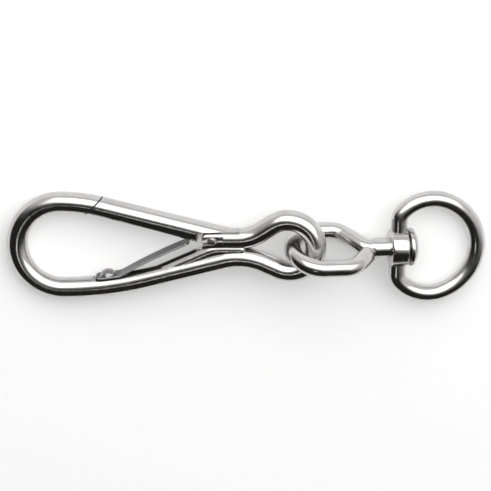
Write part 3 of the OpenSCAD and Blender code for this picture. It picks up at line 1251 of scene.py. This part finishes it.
@dataclass(frozen=True)
class GatePin:
    """The pin that the gate turns on, its ends peened over."""

    shape: HookShape
    proud: float = 0.3
    peen: float = 0.35
    crown: Pair = (0.04, 0.12)
    soft: float = 0.15
    fillet_steps: int = 5
    sides: int = 48

    def build(self, frames: Frames, finish: bpy.types.Material) -> None:
        """Makes the pin.

        Args:
            frames: Where the hook lies.
            finish: The pin's steel.
        """
        s = self.shape
        end, r = s.cheek + self.proud, s.pin_r
        cap = [(0.0, end, 0.0), (r - self.peen, end - self.crown[0], self.crown[1])]
        upper = rounded([*cap, (r, s.cheek, self.soft), (r, 0.0, 0.0)], self.fillet_steps)
        profile = upper + [(x, -y) for x, y in reversed(upper[:-1])]
        mesh = lathe(profile, self.sides, Matrix.Translation((*s.pin, 0.0)))
        made = piece("pin_of_gate", mesh, frames.hook, finish)
        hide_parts("gate_pin")
        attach(made, "hook")


@dataclass(frozen=True)
class Spring:
    """The leaf spring under the gate, and the rivet that holds its foot."""

    shape: HookShape
    thick: float = 0.45
    wide: float = 4.8
    bow: float = 4.0
    ease: float = 1.2
    tip_gap: float = 0.3
    tip_ahead: float = 3.2
    edge: float = 0.07
    hold: float = 0.03
    edge_steps: int = 4
    pitch: float = 0.4
    tip_taper: Pair = (1.0, 0.25)
    foot_taper: Pair = (0.8, 0.22)
    bends: Pair = (0.36, 1.1)
    rivet_r: float = 1.1
    head_r: float = 2.05
    head_h: float = 1.5
    head_under: float = 0.12
    tail_end: tuple[Pair, ...] = ((0.0, 0.25), (0.12, 0.1), (0.44, 0.05), (1.1, 0.04))
    dome_steps: int = 14
    sides: int = 56

    @cached_property
    def ends(self) -> tuple[Vector, Vector]:
        """Where the leaf leaves its foot and where its tip lies, in the hook's frame.

        Returns:
            The two points.
        """
        s = self.shape
        x = s.pin[0] - s.fork_end - self.tip_ahead
        y = s.gate_line(x) - s.wire_r / cosd(s.gate_slope) - self.tip_gap - self.thick / 2
        return s.seat_frame @ Vector((s.foot_half, self.thick / 2, 0.0)), Vector((x, y, 0.0))

    @cached_property
    def run(self) -> Route:
        """The leaf's middle line: flat foot, eased bend, and the bow up to the tip.

        Returns:
            The run.
        """
        s = self.shape
        start, tip = self.ends
        length = (tip - start).length
        turn = math.degrees(math.atan2(tip.y - start.y, tip.x - start.x)) + self.bow - s.foot_tilt
        soft = self.ease / 2 / tand(turn / 2)
        foot = s.seat_frame @ Vector((-s.foot_half, self.thick / 2, 0.0))
        steps = (
            (0.0, 2 * s.foot_half - self.ease / 2),
            (soft, turn),
            (-length / (2 * sind(self.bow)), -2 * self.bow * (1 - self.ease / 2 / length)),
        )
        return Route((foot.x, foot.y), s.foot_tilt, steps)

    def section(self) -> list[Pair]:
        """The leaf's section, its corners rounded and its flats held flat.

        Returns:
            The section's points.
        """
        r, hold, step = self.edge, self.hold, 90.0 / self.edge_steps
        out: list[Pair] = []
        for sx, sy, a in ((1, 1, 0), (-1, 1, 90), (-1, -1, 180), (1, -1, 270)):
            mx, my = sx * (self.thick / 2 - r), sy * (self.wide / 2 - r)
            c, s = cosd(a), sind(a)
            out.append((mx + r * c + hold * s, my + r * s - hold * c))
            angles = [a + step * k for k in range(self.edge_steps + 1)]
            out += [(mx + r * cosd(angle), my + r * sind(angle)) for angle in angles]
            out.append((mx - r * s - hold * c, my + r * c - hold * s))
        return out

    def leaf(self) -> bpy.types.Mesh:
        """The leaf in the hook's frame, narrowed a little at its two ends.

        Returns:
            The leaf's mesh.
        """
        section, rows = self.section(), self.run.trace(self.pitch)
        count, total = len(section), rows[-1, 3]
        points: list[Triple] = []
        for x, y, heading, run in rows:
            tip = max(0.0, 1.0 - (total - run) / self.tip_taper[0])
            foot = max(0.0, 1.0 - run / self.foot_taper[0])
            narrow = 1.0 - self.tip_taper[1] * tip**2 - self.foot_taper[1] * foot**2
            c, s = math.cos(heading), math.sin(heading)
            points += [(x - s * u, y + c * u, v * narrow) for u, v in section]
        faces: list[Sequence[int]] = [range(count), range(len(points) - count, len(points))]
        for low in range(0, len(points) - count, count):
            for k in range(count):
                j = (k + 1) % count
                faces.append((low + k, low + j, low + count + j, low + count + k))
        mesh = mesh_of(points, faces)
        comb(mesh, self.run)
        return mesh

    def rivet(self) -> bpy.types.Mesh:
        """The rivet in the hook's frame: dome, stem, and the end spread flush under the leg.

        Returns:
            The rivet's mesh.
        """
        s = self.shape
        ball = (self.head_r**2 + self.head_h**2) / (2 * self.head_h)
        crest, deep = self.thick + self.head_h, 2 * s.wire_r - s.foot_flat
        lip = math.asin(self.head_r / ball)
        angles = [k / self.dome_steps * lip for k in range(self.dome_steps + 1)]
        dome = [(ball * math.sin(a), ball - crest - ball * math.cos(a)) for a in angles]
        stem = [(self.head_r - self.head_under, -self.thick), (self.rivet_r, -self.thick)]
        tail = [(self.rivet_r - inward, deep - short) for inward, short in self.tail_end]
        return lathe([*dome, *stem, *tail], self.sides, s.seat_frame @ turned(90.0, "X"))

    def build(
        self, frames: Frames, leaf_finish: bpy.types.Material, rivet_finish: bpy.types.Material
    ) -> None:
        """Makes the leaf and its rivet.

        Args:
            frames: Where the hook lies.
            leaf_finish: The leaf's steel.
            rivet_finish: The rivet's steel.
        """
        made = piece("leaf_of_spring", self.leaf(), frames.hook, leaf_finish)
        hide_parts("leaf_spring")
        foot, tip = (frames.hook @ point * MM for point in self.ends)
        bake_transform(made)
        rivet = piece("rivet_of_spring", self.rivet(), frames.hook, rivet_finish)
        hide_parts("spring_rivet")
        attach(rivet, "hook")


@dataclass(frozen=True)
class Link:
    """The swivel link: open wire eye, shank and spread head."""

    wire_r: float = 2.15
    eye_r: float = 7.0
    reach: float = 5.7
    side_turn: float = 48.0
    bend_out: float = 5.2
    bend_in: float = 3.2
    free_low: float = 2.8
    free_back: float = 1.8
    shank_r: float = 2.5
    shank_from: float = 14.2
    head_from: float = 9.2
    head_r: float = 4.8
    # The root: radius, distance from the shank's start and fillet
    root: tuple[Triple, ...] = ((0.0, -0.8, 0.0), (1.95, -0.8, 0.4), (2.5, 0.5, 0.6))
    # The head: distance inside its radius, height over its underside and fillet
    head: tuple[Triple, ...] = (
        (0.1, 0.0, 0.3),
        (0.0, 0.9, 0.5),
        (1.2, 1.82, 1.0),
        (2.8, 2.1, 1.0),
        (4.8, 2.1, 0.0),
    )
    neck_fillet: float = 0.12
    pitch: float = 0.4
    sides: int = 72

    def eye_run(self) -> Route:
        """The link's wire, from the shank's root round the eye to its free end.

        Returns:
            The run.
        """
        a, both = self.side_turn, self.bend_out + self.bend_in
        past_eye = self.shank_from + self.reach - self.eye_r
        side = (self.eye_r - both * (1 - cosd(a))) / sind(a)
        free = (self.eye_r - self.free_low - self.bend_out * (1 - cosd(a))) / sind(a)
        steps = (
            (-self.bend_in, -a),
            (0.0, side),
            (self.bend_out, a),
            (0.0, past_eye - both * sind(a) - side * cosd(a)),
            (self.eye_r, 180.0),
            (0.0, past_eye - self.free_back - self.bend_out * sind(a) - free * cosd(a)),
            (self.bend_out, a),
            (0.0, free),
        )
        return Route((self.shank_from, 0.0), 180.0, steps)

    def build(self, frames: Frames, finish: bpy.types.Material) -> None:
        """Makes the link.

        Args:
            frames: Where the link lies.
            finish: The plating.
        """
        run = self.eye_run()
        body = wire(run, self.wire_r, self.pitch, dome=True)
        comb(body, run)
        body.transform(Matrix.Rotation(-frames.roll, 4, "X"))
        rim = [(self.head_r - inward, self.head_from + up, fillet) for inward, up, fillet in self.head]
        profile = rounded([*self.root, (self.shank_r, self.head_from, self.neck_fillet), *rim])
        shank = lathe(profile, self.sides, Matrix.Translation((self.shank_from, 0.0, 0.0)) @ turned(90.0, "Y"))
        stamp(shank, [v.co for v in shank.vertices])
        made = piece("link_of_swivel", bench.join(body, shank, Join.ADD), frames.link, finish)
        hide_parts("swivel_link")
        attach(made, "link")


@dataclass(frozen=True)
class Ring:
    """The swivel ring: a D of round bar with a bored boss on its straight side."""

    bar_r: float = 2.1
    length: float = 20.0
    at: float = 20.85
    shoulder_turn: float = 42.0
    side_turn: float = 68.0
    shoulder_share: float = 0.15
    side_share: float = 0.505
    boss_r: float = 4.7
    boss_h: float = 2.25
    boss_edge: float = 0.6
    bore_r: float = 2.55
    sides: int = 80

    def half_steps(self) -> tuple[Pair, ...]:
        """The ring's run from the boss to its far end: straight, shoulder, side and end.

        Returns:
            Its bends and straights.
        """
        up = 90.0 - self.shoulder_turn
        down = self.side_turn - up
        a, b = self.shoulder_share * self.length, self.side_share * self.length
        c = (self.length - (1 - sind(up)) * a - (sind(up) + sind(down)) * b) / (1 - sind(down))
        straight = cosd(down) * c - (cosd(down) - cosd(up)) * b - cosd(up) * a
        return ((0.0, straight), (-a, -self.shoulder_turn), (-b, -self.side_turn), (-c, down - 90.0))

    def build(self, frames: Frames, finish: bpy.types.Material) -> None:
        """Makes the ring.

        Args:
            frames: Where the link lies.
            finish: The plating.
        """
        half = self.half_steps()
        run = Route((0.0, 0.0), 90.0, half + half[::-1], closed=True)
        bar = wire(run, self.bar_r)
        comb(bar, run)
        r, h, edge, lie = self.boss_r, self.boss_h, self.boss_edge, turned(90.0, "Y")
        boss = lathe(rounded([(0.0, -h, 0.0), (r, -h, edge), (r, h, edge), (0.0, h, 0.0)]), self.sides, lie)
        stamp(boss, [v.co for v in boss.vertices])
        body = bench.join(bar, boss, Join.ADD)
        body = bench.cut(body, [drill(self.bore_r, lie, self.sides)])
        body.transform(Matrix.Translation((self.at, 0.0, 0.0)))
        made = piece("ring_of_swivel", body, frames.link, finish)
        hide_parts("swivel_ring")
        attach(made, "ring")


# ---------------------------------------------------------------- the studio


@dataclass(frozen=True)
class Lamp:
    """A soft lamp: place and size in metres, and brightness of its face, where 1 shows as white."""

    name: str
    at: Triple
    size: Pair
    glow: float

    def hang(self) -> None:
        """Hangs the lamp, aimed at the object."""
        data = bpy.data.lights.new(self.name, "AREA")
        data.shape, data.size, data.size_y = "RECTANGLE", *self.size
        data.energy = self.glow * math.pi * self.size[0] * self.size[1]
        lamp = bpy.data.objects.new(self.name, data)
        bpy.context.scene.collection.objects.link(lamp)
        lamp.location = self.at
        lamp.rotation_euler = (-Vector(self.at)).to_track_quat("-Z", "Y").to_euler()
        lamp.visible_camera = False


@dataclass(frozen=True)
class Studio:
    """Plain white table, soft lamps and a long lens nearly overhead."""

    tilt: float = 20.0
    lens: float = 300.0
    sensor: float = 36.0
    wide_mm: float = 121.9
    centre: Triple = (-0.1, 0.45, 5.0)
    sees: Pair = (0.01, 20.0)
    sun_side: Triple = (0.42, 0.91, 0.0)
    dusk: Pair = (-0.22, 0.38)
    sky: float = 0.72
    shade: float = 0.018
    span: float = 4000.0
    under: float = 0.02
    lamps: tuple[Lamp, ...] = (
        Lamp("key", (0.14, 0.40, 0.56), (1.2, 0.7), 1.75),
        Lamp("flats", (-0.103, -0.212, 0.574), (0.11, 0.05), 1.9),
    )

    def camera(self) -> None:
        """Makes the camera, tilted from overhead."""
        data = bpy.data.cameras.new("camera")
        data.lens, data.sensor_width = self.lens, self.sensor
        data.clip_start, data.clip_end = self.sees
        cam = bpy.data.objects.new("camera", data)
        bpy.context.scene.collection.objects.link(cam)
        back = Vector((0.0, sind(self.tilt), cosd(self.tilt)))
        up = Vector((0.0, cosd(self.tilt), -sind(self.tilt)))
        distance = self.wide_mm * MM * self.lens / self.sensor
        turn = Matrix((up.cross(back), up, back)).transposed().to_4x4()
        cam.matrix_world = Matrix.Translation(Vector(self.centre) * MM + back * distance) @ turn
        bpy.context.scene.camera = cam

    def room(self) -> None:
        """Lights the room from one side, so that round wire shows a pale top and a dark underside."""
        world = bpy.data.worlds.new("room")
        bpy.context.scene.world = world
        world.use_nodes = True
        n = Nodes(world.node_tree)
        way = {0: n.node("ShaderNodeTexCoord", output="Generated"), 1: self.sun_side}
        toward = n.node("ShaderNodeVectorMath", {"operation": "DOT_PRODUCT"}, way, "Value")
        glow = self.sky * toward.step(*self.dusk) + self.shade
        shader = n.node("ShaderNodeBackground", {}, {"Color": WHITE, "Strength": glow})
        n.node("ShaderNodeOutputWorld", {}, {"Surface": shader})

    def table(self) -> None:
        """Lays the pale table."""
        far = self.span
        mesh = mesh_of([(-far, -far, 0), (far, -far, 0), (far, far, 0), (-far, far, 0)], [range(4)])
        mesh.transform(Matrix.Scale(MM, 4) @ Matrix.Translation((0.0, 0.0, -self.under)))
        mesh.materials.append(PaleTable("pale_table").make())
        floor = bench.put(mesh)
        floor.name = "table"

    def build(self) -> None:
        """Sets up camera, room, lamps and table."""
        self.camera()
        self.room()
        for lamp in self.lamps:
            lamp.hang()
        self.table()
        bpy.context.scene.view_settings.view_transform = "Standard"


def corners(box: tuple[Vector, Vector]) -> list[list[float]]:
    """A box as plain numbers."""
    return [list(map(float, point)) for point in box]


def main() -> None:
    """Loads the frame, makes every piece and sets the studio."""
    global bench, wires
    logging.basicConfig(level=logging.INFO, format="%(name)s %(message)s")
    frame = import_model()
    bench, wires = Bench(), WireTree()
    shape = HookShape()
    frames = Frames.read(frame["joints"], shape)
    rivet_steel = PeenedSteel("rivet_steel").make()
    Hook(shape).build(frames, Plating("hook_nickel").make())
    Gate(shape).build(frames, Plating("gate_nickel", line_high=0.0065).make())
    GatePin(shape).build(frames, rivet_steel)
    Spring(shape).build(frames, TemperedSteel("leaf_steel").make(), rivet_steel)
    Link().build(frames, Plating("link_nickel").make())
    Ring().build(frames, Plating("ring_nickel", wave_high=0.039).make())
    Studio().build()


if __name__ == "__main__":
    main()
